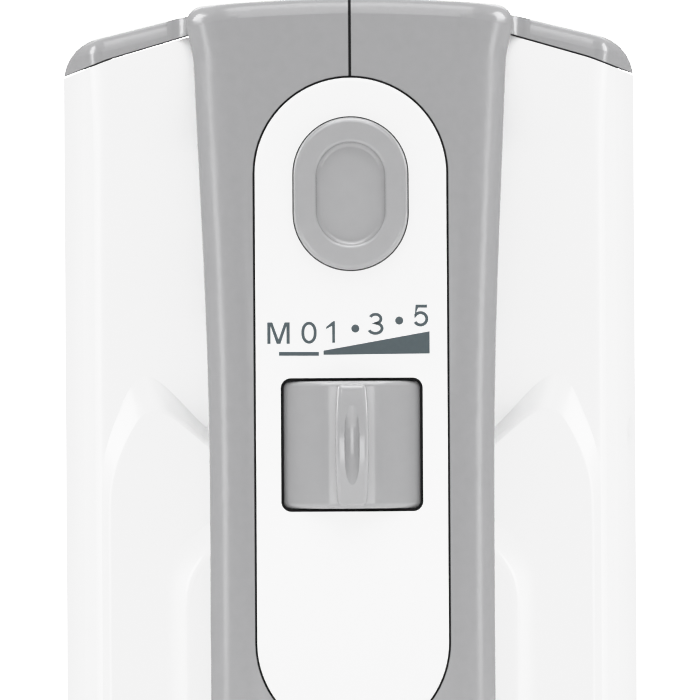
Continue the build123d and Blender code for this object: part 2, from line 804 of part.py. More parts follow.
# ---------------------------------------------------------------- worm drive
def make_worm():
    """Two-start worm cut on the motor's shaft."""
    def half_angle(radius):
        half = pitch / 4 - backlash / 2
        half -= (radius - worm_pitch_radius) * math.tan(math.radians(pressure_angle))
        return half * 2 * math.pi / lead

    tip = worm_pitch_radius + addendum
    root = worm_pitch_radius - dedendum
    middle = (tip + root) / 2
    edges = []
    for start in range(starts):
        at = 2 * math.pi * start / starts
        after = 2 * math.pi * (start + 1) / starts
        rise, waist, foot = half_angle(tip), half_angle(middle), half_angle(root)
        corners = [polar(tip, at - rise), polar(tip, at), polar(tip, at + rise),
                   polar(middle, at + waist), polar(root, at + foot), polar(root, (at + after) / 2),
                   polar(root, after - foot), polar(middle, after - waist), polar(tip, after - rise)]
        edges += [ThreePointArc(*corners[i:i + 3]) for i in (0, 2, 4, 6)]
    low = drive_z - worm_length / 2
    turn = -math.degrees(math.pi * worm_length / lead)
    turned = Pos(0, 0, low) * make_face(Wire(edges)).rotate(Axis.Z, turn)
    return Solid.extrude_linear_with_rotation(turned.face(), (0, 0, low), (0, 0, worm_length),
                                              worm_length * 360 / lead)


def make_shaft():
    low = drive_z - worm_length / 2
    high = drive_z + worm_length / 2
    shaft = rod_z(shaft_radius, shaft_end, low + 0.5)
    shaft += rod_z(shaft_radius, high - 0.5, thrust_z + bush_length)
    return shaft + make_worm()


def wheel_teeth():
    """Helical teeth that mesh with the worm, drawn about the origin."""
    def half_angle(radius):
        half = pitch / 4 - backlash / 2
        half -= (radius - wheel_pitch_radius) * math.tan(math.radians(pressure_angle))
        return half / wheel_pitch_radius

    tip = wheel_pitch_radius + addendum
    root = wheel_pitch_radius - dedendum
    step = 2 * math.pi / teeth
    edges = []
    for tooth in range(teeth):
        at = tooth * step
        crest, foot = half_angle(tip), half_angle(root)
        edges.append(ThreePointArc(polar(tip, at - crest), polar(tip, at), polar(tip, at + crest)))
        edges.append(Line(polar(tip, at + crest), polar(root, at + foot)))
        edges.append(ThreePointArc(polar(root, at + foot), polar(root, at + step / 2),
                                   polar(root, at + step - foot)))
        edges.append(Line(polar(root, at + step - foot), polar(tip, at + step - crest)))
    twist = math.degrees(gear_face * lead / (2 * math.pi * worm_pitch_radius) / wheel_pitch_radius)
    face = make_face(Wire(edges)).rotate(Axis.Z, math.degrees(step / 2) - twist / 2)
    face = Pos(0, 0, -gear_face / 2) * face
    return Solid.extrude_linear_with_rotation(face.face(), (0, 0, -gear_face / 2),
                                              (0, 0, gear_face), twist)


def make_wheel(side):
    """Worm wheel with its hub, journals and the cross slot that drives the beater."""
    wheel = Rot(-90, 0, 0) * wheel_teeth()
    if side > 0:
        wheel = Rot(0, 180, 0) * wheel
    shoulder = gear_room - slack
    wheel += rod_y(0, 0, gear_hub, -shoulder, shoulder)
    wheel += rod_y(0, 0, journal, -gear_room - journal_length, shoulder)
    wheel += rod_y(0, 0, journal, -shoulder, gear_room + nose_journal)
    wheel -= rod_y(0, 0, bore_radius, -30, 30)
    low = gear_room + nose_journal - wing_depth
    reach = wing_reach + slack
    wheel -= block(-reach, reach, low, low + 10, -wing_slot / 2, wing_slot / 2)
    wheel -= block(-wing_slot / 2, wing_slot / 2, low, low + 10, -reach, reach)
    return Pos(side * beater_x, 0, drive_z) * wheel


def case_outline(grow):
    """Plan of the gear case: a slot round both wheels, drawn in (X, Z)."""
    radius = case_radius + grow
    return Pos(0, drive_z) * SlotOverall(2 * beater_x + 2 * radius, 2 * radius)


def make_gear_case():
    case = along_y(case_outline(case_wall), -gear_room, gear_room + case_floor)
    case -= along_y(case_outline(0), -gear_room - 1, gear_room)
    case += rod_z(bush_radius + 1.8, drive_z - case_radius - bush_length, drive_z - case_radius) & block(
        -20, 20, -gear_room, 20, 0, far)
    case += rod_z(bush_radius + 1.8, drive_z + case_radius, drive_z + case_radius + bush_length) & block(
        -20, 20, -gear_room, 20, 0, far)
    for x in (-beater_x, beater_x):
        case -= rod_y(x, drive_z, journal + fit, 0, 20)
    case -= rod_z(bush_radius, drive_z - case_radius - bush_length - 1, drive_z - case_radius + 0.01)
    case -= rod_z(bush_radius, drive_z + case_radius - 0.01, drive_z + case_radius + bush_length + 1)
    return case


def make_gear_cover():
    cover = along_y(case_outline(case_wall), -gear_room - case_floor, -gear_room)
    for x in (-beater_x, beater_x):
        cover -= rod_y(x, drive_z, journal + fit, -20, 0)
    return cover


def make_bush(z):
    return rod_z(bush_radius, z, z + bush_length) - rod_z(shaft_radius + fit, z - 1, z + bush_length + 1)


# ---------------------------------------------------------------- motor
def stator_outline(grow=0.0):
    return RectangleRounded(2 * (stator_half_x + grow), 2 * (stator_half_y + grow), stator_round)


def make_stator():
    outline = stator_outline() - Circle(armature_radius + air_gap)
    for side in (-1, 1):
        middle = side * (coil_window_in + coil_window_out) / 2
        width = coil_window_out - coil_window_in
        outline -= Pos(middle, 0) * Rectangle(width, 2 * coil_window_half)
    return along_z(outline, armature_low, armature_high)


def make_coil(side):
    """Field winding round the upper (side -1) or lower (side +1) pole."""
    outer_x = coil_window_out - slack
    inner_x = outer_x - coil_thickness
    outer_y = stator_half_y - 2.5
    low = armature_low - coil_overhang
    high = armature_high + coil_overhang
    bend = RectangleRounded(2 * outer_x, 2 * outer_y, 6)
    bend -= RectangleRounded(2 * inner_x, 2 * outer_y - 2 * coil_thickness, 2)
    bend &= Pos(0, side * (outer_y / 2 + 0.5)) * Rectangle(80, outer_y)
    coil = along_z(bend, low, high)
    window = coil_window_half - slack
    y0, y1 = sorted((side * window, side * wide_x))
    return coil - block(-wide_x, wide_x, y0, y1, armature_low - slack, armature_high + slack)


def make_core():
    outline = Circle(armature_radius) - Circle(shaft_radius)
    for index in range(armature_slots):
        turn = Rot(0, 0, index * 360 / armature_slots)
        outline -= turn * Pos(armature_radius, 0) * Rectangle(2 * slot_depth, slot_width)
    return along_z(outline, armature_low, armature_high)


def make_winding(low):
    high = low + winding_length
    ring = rod_z(winding_radius, low, high) - rod_z(shaft_radius, low - 1, high + 1)
    outer = [edge for edge in ring.edges()
             if edge.geom_type == GeomType.CIRCLE and edge.radius > shaft_radius + 1]
    return fillet(outer, 2.5)


def make_commutator():
    ring = Circle(commutator_radius) - Circle(shaft_radius)
    for index in range(armature_slots):
        turn = Rot(0, 0, (index + 0.5) * 360 / armature_slots)
        ring -= turn * Pos(commutator_radius, 0) * Rectangle(1.6, 0.5)
    return along_z(ring, commutator_low, commutator_high)


def make_fan():
    """Hub, disc and straight blades."""
    hub = rod_z(5.0, fan_z, fan_z + fan_height)
    disc = rod_z(fan_radius, fan_z, fan_z + 1.2)
    fan = hub + disc
    for index in range(fan_blades):
        blade = block(4.5, fan_radius, -0.6, 0.6, fan_z + 1, fan_z + fan_height)
        fan += Rot(0, 0, index * 360 / fan_blades) * blade
    return fan - rod_z(shaft_radius, fan_z - 1, fan_z + fan_height + 1)


def make_bracket():
    """Rear bearing bracket: a bridge on two legs that stand on the stator."""
    high = bracket_z + bracket_thickness
    solid = along_z(RectangleRounded(2 * stator_half_x, 2 * bracket_half_y, 3), bracket_z, high)
    solid += rod_z(bush_radius + 2, bracket_z - 2, high)
    for side in (-1, 1):
        x0, x1 = sorted((side * (stator_half_x - 3), side * stator_half_x))
        solid += block(x0, x1, -bracket_half_y + 2, bracket_half_y - 2, bracket_z, armature_low)
    solid -= rod_z(bush_radius, bracket_z - 3, bracket_z - 2 + bush_length)
    return solid - rod_z(shaft_radius + 0.5, bracket_z - 3, high + 1)


def brush_middle():
    return (commutator_low + commutator_high) / 2


def make_brush(side):
    half = brush / 2
    x0, x1 = sorted((side * (commutator_radius - 1), side * (stator_half_x - 6)))
    carbon = block(x0, x1, -half, half, brush_middle() - half, brush_middle() + half)
    return carbon - rod_z(commutator_radius + fit, 0, 80)


def make_brush_holder(side):
    half = brush / 2 + fit
    outside = half + brush_holder_wall
    x0, x1 = sorted((side * (commutator_radius + 2), side * (stator_half_x - 4)))
    z = brush_middle()
    holder = block(x0, x1, -outside, outside, bracket_z + bracket_thickness, z + outside)
    return holder - block(-wide_x, wide_x, -half, half, z - half, z + half)


# ---------------------------------------------------------------- beaters and sockets
def make_socket(side):
    """Flanged sleeve that guides the beater through the underside."""
    start = gear_room + nose_journal + slack
    sleeve = rod_y(0, 0, socket_radius, start, under_y)
    flange = rod_y(0, 0, socket_flange, under_y, under_y + socket_flange_thickness)
    flange = fillet(flange.edges().sort_by(Axis.Y)[-1], 0.8)
    bore = rod_y(0, 0, socket_bore, start - 1, under_y + 10)
    return Pos(side * beater_x, 0, drive_z) * (sleeve + flange - bore)


def make_beater_shaft(side):
    """Shaft with its driving wings and the collar that tells the two beaters apart."""
    shaft = rod_y(0, 0, beater_shaft, shaft_top, basket_end)
    shaft = chamfer(shaft.edges().sort_by(Axis.Y)[0], 0.6)
    low = gear_room + nose_journal - wing_depth + slack
    wing = wing_slot / 2 - 0.2
    shaft += block(-wing_reach, wing_reach, low, low + 2.5, -wing, wing)
    shaft += block(-wing, wing, low, low + 2.5, -wing_reach, wing_reach)
    collar = collar_large if side > 0 else collar_small
    start = under_y + socket_flange_thickness + 3
    ring = rod_y(0, 0, collar, start, start + 2.5)
    shaft += fillet(ring.edges().filter_by(GeomType.CIRCLE), 0.8)
    return Pos(side * beater_x, 0, drive_z) * shaft


def make_beater_wires(side):
    """Four bowed wires between a ferrule on the shaft and a tip below it."""
    foot = basket_end - 1.5
    path = FilletPolyline((beater_shaft - 0.8, basket_top), (basket_radius, basket_top + 17),
                          (basket_radius, foot - 16), (basket_radius * 0.62, foot - 1),
                          (beater_shaft - 0.8, foot), radius=[12, 16, 8])
    path = Plane(origin=(0, 0, 0), x_dir=(1, 0, 0), z_dir=(0, 0, 1)) * path
    section = Plane(origin=path @ 0, z_dir=path % 0) * Circle(wire_radius)
    wire = sweep(section, path=path)
    ferrule = rod_y(0, 0, beater_shaft + 1.4, basket_top - 4, basket_top + 4)
    tip = rod_y(0, 0, tip_radius, foot - 3, basket_end + 2)
    tip = fillet(tip.edges().sort_by(Axis.Y)[-1], 2.0)
    basket = ferrule + tip
    for index in range(4):
        basket += Rot(0, index * 90 + (45 if side > 0 else 0), 0) * wire
    return Pos(side * beater_x, 0, drive_z) * (basket - rod_y(0, 0, beater_shaft, 0, basket_end))


def make_gland():
    """Sleeve in the heel column that the mains cord comes out of."""
    start = -heel_back - gland_reach - 3
    gland = rod_y(0, gland_z, gland_radius, start, -heel_back + 8)
    gland = fillet(gland.edges().sort_by(Axis.Y)[0], 1.0)
    return gland - rod_y(0, gland_z, gland_bore, start - 1, 0)


# ---------------------------------------------------------------- write every piece
pieces = {}
pieces["housing_left"], pieces["housing_right"] = make_housing()
pieces["handle_left"], pieces["handle_right"] = make_ring()
pieces["heel_pad"] = make_heel_pad()
pieces["control_panel"] = make_panel()
pieces["speed_key"] = make_key()
pieces["key_pin"] = make_key_pin()
pieces["speed_switch"] = make_speed_switch()
pieces["eject_button"] = make_button()
pieces["eject_crossbar"] = make_crossbar()
pieces["eject_spring"] = make_spring()
pieces["motor_shaft"] = make_shaft()
pieces["armature_core"] = make_core()
pieces["winding_rear"] = make_winding(armature_low - winding_length)
pieces["winding_front"] = make_winding(armature_high)
pieces["commutator"] = make_commutator()
pieces["cooling_fan"] = make_fan()
pieces["stator_core"] = make_stator()
pieces["field_coil_upper"] = make_coil(-1)
pieces["field_coil_lower"] = make_coil(1)
pieces["bearing_bracket"] = make_bracket()
pieces["bush_rear"] = make_bush(bracket_z - 2)
pieces["bush_front"] = make_bush(drive_z - case_radius - bush_length)
pieces["bush_thrust"] = make_bush(thrust_z)
pieces["gear_case"] = make_gear_case()
pieces["gear_cover"] = make_gear_cover()
pieces["cord_gland"] = make_gland()
for name, side in (("left", -1), ("right", 1)):
    pieces["brush_" + name] = make_brush(side)
    pieces["brush_holder_" + name] = make_brush_holder(side)
    pieces["worm_wheel_" + name] = make_wheel(side)
    pieces["beater_socket_" + name] = make_socket(side)
    pieces["beater_shaft_" + name] = make_beater_shaft(side)
    pieces["beater_wires_" + name] = make_beater_wires(side)
for index, (y, z) in enumerate(housing_screws):
    pieces[f"housing_screw_{index + 1}"] = make_screw(y, z)
for index, (y, z) in enumerate(ring_screws):
    pieces[f"handle_screw_{index + 1}"] = make_screw(y, z)

os.makedirs("parts", exist_ok=True)
for name, solid in pieces.items():
    export_step(solid, f"parts/{name}.step")
    print(f"{name:22s} {solid.volume:10.1f} mm3")
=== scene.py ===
import math

import bmesh
import bpy
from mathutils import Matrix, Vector


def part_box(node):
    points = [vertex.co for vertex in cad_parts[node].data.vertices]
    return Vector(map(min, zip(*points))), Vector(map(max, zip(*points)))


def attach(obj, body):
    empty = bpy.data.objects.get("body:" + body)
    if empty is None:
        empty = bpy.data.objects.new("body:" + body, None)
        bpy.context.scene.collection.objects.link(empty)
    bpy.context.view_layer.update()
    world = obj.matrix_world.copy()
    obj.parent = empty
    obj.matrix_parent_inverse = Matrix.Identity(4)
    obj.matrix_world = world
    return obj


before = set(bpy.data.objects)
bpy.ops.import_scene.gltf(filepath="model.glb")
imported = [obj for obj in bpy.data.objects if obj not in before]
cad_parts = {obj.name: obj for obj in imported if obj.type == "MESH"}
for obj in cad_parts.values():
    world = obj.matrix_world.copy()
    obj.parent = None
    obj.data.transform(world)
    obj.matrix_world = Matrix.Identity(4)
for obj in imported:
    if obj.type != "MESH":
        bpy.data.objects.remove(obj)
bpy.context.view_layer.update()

# Finishes, printing, and black cords and strips that paint the shade in the gaps and seam lines of a hand
# mixer, laid over its imported frame.
# Everything is in metres, in the mixer's own frame: +Z from heel to nose, X across,
# the handle towards -Y and the beaters towards +Y.

MM = 0.001

# ---- Places read from the frame ----
panel_low, panel_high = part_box("control_panel")
key_low, key_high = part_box("speed_key")
button_low, button_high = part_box("eject_button")
panel_half = panel_high.x
panel_middle = (panel_low.z + panel_high.z) / 2
key_middle = (key_low.z + key_high.z) / 2
key_half_length = (key_high.z - key_low.z) / 2
button_middle = (button_low.z + button_high.z) / 2
panel_face = panel_low.y               # crest of the panel's long arch

# ---- Sizes of what this file adds ----
arch_radius = 600 * MM                 # long arch of the handle's back
panel_proud = 0.6 * MM
panel_gap = 0.35 * MM
key_window_half = 11.05 * MM           # half width of the window round the speed key
key_gap = 0.5 * MM
key_window_round = 1.6 * MM
key_cord = 0.24 * MM
button_gap = 0.2 * MM
button_cord = 0.09 * MM
panel_gap_shade_depth = 0.12 * MM           # of the black cord of painted shade in the panel's gap, below the handle's arch
key_gap_shade_depth = 0.5 * MM              # of the black cord of painted shade in the key's window, below the panel's face
button_gap_shade_depth = 0.25 * MM
cord_sides = 10
seam_setback = 0.12 * MM               # the black strip of painted seam shade stays this far inside the halves' rims
ink_thickness = 0.02 * MM
stroke_width = 0.5                     # of the printed numbers, in millimetres
room_light_level = 0.4
room_light_overhead = 1.0
backdrop_light = 12.0


# ---------------------------------------------------------------- nodes
def linear(code, alpha=1.0):
    """An sRGB hex colour as the linear values that shaders take."""
    values = [int(code[start:start + 2], 16) / 255 for start in (0, 2, 4)]
    return [v / 12.92 if v <= 0.04045 else ((v + 0.055) / 1.055) ** 2.4 for v in values] + [alpha]


def add(tree, kind, inputs=None, **settings):
    """Add one node: settings are its own, inputs are values or the sockets that feed it."""
    node = tree.nodes.new(kind)
    for name, value in settings.items():
        setattr(node, name, value)
    for name, value in (inputs or {}).items():
        socket = node.inputs[name]
        if isinstance(value, bpy.types.NodeSocket):
            tree.links.new(value, socket)
        else:
            socket.default_value = value
    return node


def new_material(name, **numbers):
    """A material with one Principled shader, whose even values stand on its own sockets."""
    material = bpy.data.materials.new(name)
    material.use_nodes = True
    shader = material.node_tree.nodes["Principled BSDF"]
    for socket, value in numbers.items():
        shader.inputs[socket.replace("_", " ")].default_value = value
    return material, material.node_tree, shader


def object_point(tree, stretch=(1, 1, 1)):
    """Object coordinates in millimetres, stretched where a pattern runs one way."""
    here = add(tree, "ShaderNodeTexCoord").outputs["Object"]
    scale = [1000 * s for s in stretch]
    return add(tree, "ShaderNodeMapping", {"Vector": here, "Scale": scale}).outputs["Vector"]


def noise(tree, size_mm, detail=2.0, stretch=(1, 1, 1)):
    """Noise whose lumps are about size_mm across, from 0 to 1."""
    point = object_point(tree, stretch)
    inputs = {"Vector": point, "Scale": 1 / size_mm, "Detail": detail}
    return add(tree, "ShaderNodeTexNoise", inputs).outputs["Fac"]


def spread(tree, factor, low, high):
    """Map 0..1 to low..high."""
    inputs = {"Value": factor, "To Min": low, "To Max": high}
    return add(tree, "ShaderNodeMapRange", inputs).outputs["Result"]


def tint(tree, factor, low, high):
    """Blend between two sRGB colours."""
    ramp = add(tree, "ShaderNodeValToRGB", {"Fac": factor})
    ramp.color_ramp.elements[0].color = linear(low)
    ramp.color_ramp.elements[1].color = linear(high)
    return ramp.outputs["Color"]


def relief(tree, height, depth_mm, normal=None):
    """Bump of a real depth."""
    inputs = {"Height": height, "Distance": depth_mm * MM, "Strength": 1.0}
    if normal is not None:
        inputs["Normal"] = normal
    return add(tree, "ShaderNodeBump", inputs).outputs["Normal"]


# ---------------------------------------------------------------- materials
def glossy_white_abs():
    """White ABS from a polished tool: clean gloss, with a trace of flow and orange peel."""
    material, tree, shader = new_material("glossy_white_abs", IOR=1.53)
    links = tree.links
    links.new(tint(tree, noise(tree, 22), "f1f1f1", "f4f4f4"), shader.inputs["Base Color"])
    links.new(spread(tree, noise(tree, 9), 0.17, 0.22), shader.inputs["Roughness"])
    links.new(relief(tree, noise(tree, 3.5, 1.0), 0.004), shader.inputs["Normal"])
    return material


def panel_white_abs():
    """White ABS of the control panel, polished a little finer than the housing."""
    material, tree, shader = new_material("panel_white_abs", IOR=1.53)
    links = tree.links
    links.new(tint(tree, noise(tree, 18), "f2f2f2", "f5f5f5"), shader.inputs["Base Color"])
    links.new(spread(tree, noise(tree, 7), 0.16, 0.22), shader.inputs["Roughness"])
    links.new(relief(tree, noise(tree, 3.0, 1.0), 0.003), shader.inputs["Normal"])
    return material


def satin_grey_abs():
    """Grey ABS from a finely eroded tool: satin, with a grain that breaks up its highlights."""
    material, tree, shader = new_material("satin_grey_abs", IOR=1.53)
    links = tree.links
    links.new(tint(tree, noise(tree, 1.6, 4.0), "888889", "8d8d8e"), shader.inputs["Base Color"])
    links.new(spread(tree, noise(tree, 6), 0.20, 0.24), shader.inputs["Roughness"])
    links.new(relief(tree, noise(tree, 0.45, 3.0), 0.004), shader.inputs["Normal"])
    return material


def polished_grey_abs():
    """Grey ABS of key and button, from a polished cavity: its edges catch crisp lines of light."""
    material, tree, shader = new_material("polished_grey_abs", IOR=1.53, Coat_Weight=0.7,
                                          Coat_Roughness=0.07)
    links = tree.links
    links.new(tint(tree, noise(tree, 2.2, 3.0), "909091", "959596"), shader.inputs["Base Color"])
    links.new(spread(tree, noise(tree, 5), 0.17, 0.22), shader.inputs["Roughness"])
    links.new(relief(tree, noise(tree, 0.6, 2.0), 0.002), shader.inputs["Normal"])
    return material


def soft_tpe():
    """Soft thermoplastic rubber: dull, faintly pebbled, with a soft sheen at grazing angles."""
    material, tree, shader = new_material("soft_tpe", IOR=1.5, Sheen_Weight=0.15, Sheen_Roughness=0.5)
    links = tree.links
    links.new(tint(tree, noise(tree, 1.2, 4.0), "8b8c8d", "949596"), shader.inputs["Base Color"])
    links.new(spread(tree, noise(tree, 2.0), 0.60, 0.72), shader.inputs["Roughness"])
    links.new(relief(tree, noise(tree, 0.5, 2.0), 0.02), shader.inputs["Normal"])
    return material


def black_gap_shade():
    """Near-black and matt: the cords and strips that paint the shade in gaps and seams."""
    material, tree, shader = new_material("black_gap_shade", IOR=1.45, Specular_IOR_Level=0.2)
    links = tree.links
    links.new(tint(tree, noise(tree, 0.3, 3.0), "060607", "101011"), shader.inputs["Base Color"])
    links.new(spread(tree, noise(tree, 0.5), 0.75, 0.9), shader.inputs["Roughness"])
    return material


def pad_printed_ink():
    """Blue-grey ink from a printing pad: flat, a shade uneven where the film is thin."""
    material, tree, shader = new_material("pad_printed_ink", IOR=1.48)
    links = tree.links
    links.new(tint(tree, noise(tree, 0.6, 3.0), "364247", "3d494d"), shader.inputs["Base Color"])
    links.new(spread(tree, noise(tree, 0.8), 0.45, 0.55), shader.inputs["Roughness"])
    return material


def black_nylon():
    """Black glass-filled nylon: pale flecks of fibre in a matt black skin."""
    material, tree, shader = new_material("black_nylon", IOR=1.53)
    links = tree.links
    flecks = noise(tree, 0.25, 4.0, (1, 1, 6))
    links.new(tint(tree, flecks, "151516", "242425"), shader.inputs["Base Color"])
    links.new(spread(tree, noise(tree, 0.8), 0.45, 0.62), shader.inputs["Roughness"])
    links.new(relief(tree, noise(tree, 0.3, 3.0), 0.01), shader.inputs["Normal"])
    return material


def white_acetal():
    """Natural acetal: milky white and waxy, a little light passing under its skin."""
    material, tree, shader = new_material("white_acetal", IOR=1.48)
    links = tree.links
    links.new(tint(tree, noise(tree, 8), "e4e3dc", "ecebe5"), shader.inputs["Base Color"])
    links.new(spread(tree, noise(tree, 2.0), 0.34, 0.44), shader.inputs["Roughness"])
    links.new(relief(tree, noise(tree, 1.5), 0.005), shader.inputs["Normal"])
    return material


def gear_nylon():
    """Cast nylon of the worm wheels: warm ivory, with the fine lines of the hob on it."""
    material, tree, shader = new_material("gear_nylon", IOR=1.53)
    links = tree.links
    links.new(tint(tree, noise(tree, 5), "d8cfb4", "e2dac2"), shader.inputs["Base Color"])
    links.new(spread(tree, noise(tree, 1.5), 0.38, 0.5), shader.inputs["Roughness"])
    links.new(relief(tree, noise(tree, 0.4, 2.0, (1, 5, 1)), 0.01), shader.inputs["Normal"])
    return material


def turned_steel():
    """Turned and ground steel: fine rings round the shaft."""
    material, tree, shader = new_material("turned_steel", Metallic=1.0)
    links = tree.links
    links.new(tint(tree, noise(tree, 4), "b4b6b8", "c4c6c8"), shader.inputs["Base Color"])
    links.new(spread(tree, noise(tree, 0.3, 2.0, (0.1, 0.1, 1)), 0.22, 0.34), shader.inputs["Roughness"])
    links.new(relief(tree, noise(tree, 0.3, 2.0, (0.1, 0.1, 1)), 0.003), shader.inputs["Normal"])
    return material


def chromed_wire():
    """Bright chrome over drawn wire: mirror gloss, with faint draw lines along it."""
    material, tree, shader = new_material("chromed_wire", Metallic=1.0)
    links = tree.links
    links.new(tint(tree, noise(tree, 6), "d6d8da", "e2e4e6"), shader.inputs["Base Color"])
    links.new(spread(tree, noise(tree, 1.2), 0.07, 0.13), shader.inputs["Roughness"])
    links.new(relief(tree, noise(tree, 0.5, 1.0, (1, 0.1, 1)), 0.002), shader.inputs["Normal"])
    return material


def spring_wire():
    """Oil-tempered spring wire: dark steel with a dull shine."""
    material, tree, shader = new_material("spring_wire", Metallic=1.0)
    links = tree.links
    links.new(tint(tree, noise(tree, 1.5), "6f7174", "85878a"), shader.inputs["Base Color"])
    links.new(spread(tree, noise(tree, 0.6), 0.3, 0.42), shader.inputs["Roughness"])
    return material


def electrical_sheet():
    """Stacked electrical steel: half-millimetre sheets, blued, each edge a fine line."""
    material, tree, shader = new_material("electrical_sheet", Metallic=0.85)
    links = tree.links
    inputs = {"Vector": object_point(tree), "Scale": 0.157, "Distortion": 0.0}
    sheets = add(tree, "ShaderNodeTexWave", inputs, bands_direction="Z").outputs["Fac"]
    links.new(tint(tree, sheets, "3d4045", "6d7178"), shader.inputs["Base Color"])
    links.new(spread(tree, noise(tree, 1.0), 0.42, 0.6), shader.inputs["Roughness"])
    links.new(relief(tree, sheets, 0.03), shader.inputs["Normal"])
    return material


def enamelled_copper():
    """Enamelled copper wire laid in turns: red-brown, glossy, a groove between turns."""
    material, tree, shader = new_material("enamelled_copper", Metallic=0.6, Coat_Weight=0.6,
                                          Coat_Roughness=0.15)
    links = tree.links
    inputs = {"Vector": object_point(tree), "Scale": 0.3, "Distortion": 0.4}
    turns = add(tree, "ShaderNodeTexWave", inputs, bands_direction="Z").outputs["Fac"]
    links.new(tint(tree, turns, "4a1f10", "a4552c"), shader.inputs["Base Color"])
    links.new(relief(tree, turns, 0.12), shader.inputs["Normal"])
    links.new(spread(tree, noise(tree, 1.0), 0.3, 0.4), shader.inputs["Roughness"])
    return material


def hard_copper():
    """Hard copper under the brushes: bright, scored round and round."""
    material, tree, shader = new_material("hard_copper", Metallic=1.0)
    links = tree.links
    scores = noise(tree, 1.0, 3.0, (1, 1, 4))
    links.new(tint(tree, scores, "a4603c", "c98a62"), shader.inputs["Base Color"])
    links.new(spread(tree, noise(tree, 0.3, 2.0, (0.1, 0.1, 1)), 0.28, 0.42), shader.inputs["Roughness"])
    return material


def sintered_bronze():
    """Sintered bronze, soaked in oil: dull gold with fine dark pores."""
    material, tree, shader = new_material("sintered_bronze", Metallic=1.0)
    links = tree.links
    links.new(tint(tree, noise(tree, 0.25, 5.0), "5c4524", "a5834f"), shader.inputs["Base Color"])
    links.new(spread(tree, noise(tree, 0.4), 0.45, 0.62), shader.inputs["Roughness"])
    links.new(relief(tree, noise(tree, 0.25, 3.0), 0.02), shader.inputs["Normal"])
    return material


def drawn_brass():
    """Drawn brass: yellow, lightly tarnished."""
    material, tree, shader = new_material("drawn_brass", Metallic=1.0)
    links = tree.links
    links.new(tint(tree, noise(tree, 3, 3.0), "a88a48", "c6a862"), shader.inputs["Base Color"])
    links.new(spread(tree, noise(tree, 1.0), 0.25, 0.38), shader.inputs["Roughness"])
    return material


def pressed_carbon():
    """Pressed carbon: sooty and matt, with a graphite glint."""
    material, tree, shader = new_material("pressed_carbon", Metallic=0.2)
    links = tree.links
    links.new(tint(tree, noise(tree, 0.4, 4.0), "141414", "2a2a2b"), shader.inputs["Base Color"])
    links.new(spread(tree, noise(tree, 0.5), 0.5, 0.7), shader.inputs["Roughness"])
    return material


# ---------------------------------------------------------------- meshes
def finish_mesh(obj, material, body, smooth=True):
    """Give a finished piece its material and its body."""
    obj.data.materials.clear()
    obj.data.materials.append(material)
    for face in obj.data.polygons:
        face.use_smooth = smooth
    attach(obj, body)
    return obj


def link(name, data):
    obj = bpy.data.objects.new(name, data)
    bpy.context.scene.collection.objects.link(obj)
    return obj


def plain_mesh(obj, name):
    """The evaluated shape of an object as a mesh of its own; the source object goes."""
    graph = bpy.context.evaluated_depsgraph_get()
    data = bpy.data.meshes.new_from_object(obj.evaluated_get(graph))
    bpy.data.objects.remove(obj)
    data.name = name
    return data


def closed_curve(name, points):
    """A closed curve of straight steps through the points."""
    data = bpy.data.curves.new(name, "CURVE")
    data.dimensions = "3D"
    spline = data.splines.new("POLY")
    spline.points.add(len(points) - 1)
    for place, point in zip(spline.points, points):
        place.co = (*point, 1)
    spline.use_cyclic_u = True
    return link(name, data)


def cord_tree(material):
    """Geometry Nodes: a round cord along each curve that comes in."""
    tree = bpy.data.node_groups.new("round_cord", "GeometryNodeTree")
    tree.interface.new_socket("Geometry", in_out="INPUT", socket_type="NodeSocketGeometry")
    tree.interface.new_socket("Cord Radius", in_out="INPUT", socket_type="NodeSocketFloat")
    tree.interface.new_socket("Sides", in_out="INPUT", socket_type="NodeSocketInt")
    tree.interface.new_socket("Geometry", in_out="OUTPUT", socket_type="NodeSocketGeometry")
    source = add(tree, "NodeGroupInput")
    profile = add(tree, "GeometryNodeCurvePrimitiveCircle",
                  {"Radius": source.outputs["Cord Radius"], "Resolution": source.outputs["Sides"]})
    swept = add(tree, "GeometryNodeCurveToMesh",
                {"Curve": source.outputs["Geometry"], "Profile Curve": profile.outputs["Curve"]})
    real = add(tree, "GeometryNodeRealizeInstances", {"Geometry": swept.outputs["Mesh"]})
    dressed = add(tree, "GeometryNodeSetMaterial",
                  {"Geometry": real.outputs["Geometry"], "Material": material})
    add(tree, "NodeGroupOutput", {"Geometry": dressed.outputs["Geometry"]})
    return tree


def set_inputs(modifier, values):
    """Set a tree's named inputs by the identifier of each socket."""
    for item in modifier.node_group.interface.items_tree:
        if item.in_out == "INPUT" and item.name in values:
            modifier[item.identifier] = values[item.name]


def round_cord(name, points, radius, tree, material, body):
    """A closed cord of a real radius along a path."""
    path = closed_curve(name + "_path", points)
    modifier = path.modifiers.new("cord", "NODES")
    modifier.node_group = tree
    set_inputs(modifier, {"Cord Radius": radius, "Sides": cord_sides})
    return finish_mesh(link(name, plain_mesh(path, name)), material, body)


# ---------------------------------------------------------------- the handle's arch
def arch_y(z):
    """Y of the panel's face at a height along the handle."""
    return panel_face + arch_radius - math.sqrt(arch_radius ** 2 - (z - key_middle) ** 2)


def on_arch(x, z, below):
    """A point that lies a depth below the panel's face."""
    return Vector((x, arch_y(z) + below, z))


def stadium_path(half, half_length, middle, below, steps=48):
    """Closed path round a stadium, on the arch: two half circles and two straight sides."""
    points = []
    straight = half_length - half
    for end in (1, -1):
        for step in range(steps + 1):
            turn = math.pi * step / steps
            x = half * math.cos(turn) * end
            z = middle + end * (straight + half * math.sin(turn))
            points.append(on_arch(x, z, below))
        for step in range(1, steps):
            z = middle + end * straight * (1 - 2 * step / steps)
            points.append(on_arch(-end * half, z, below))
    return points


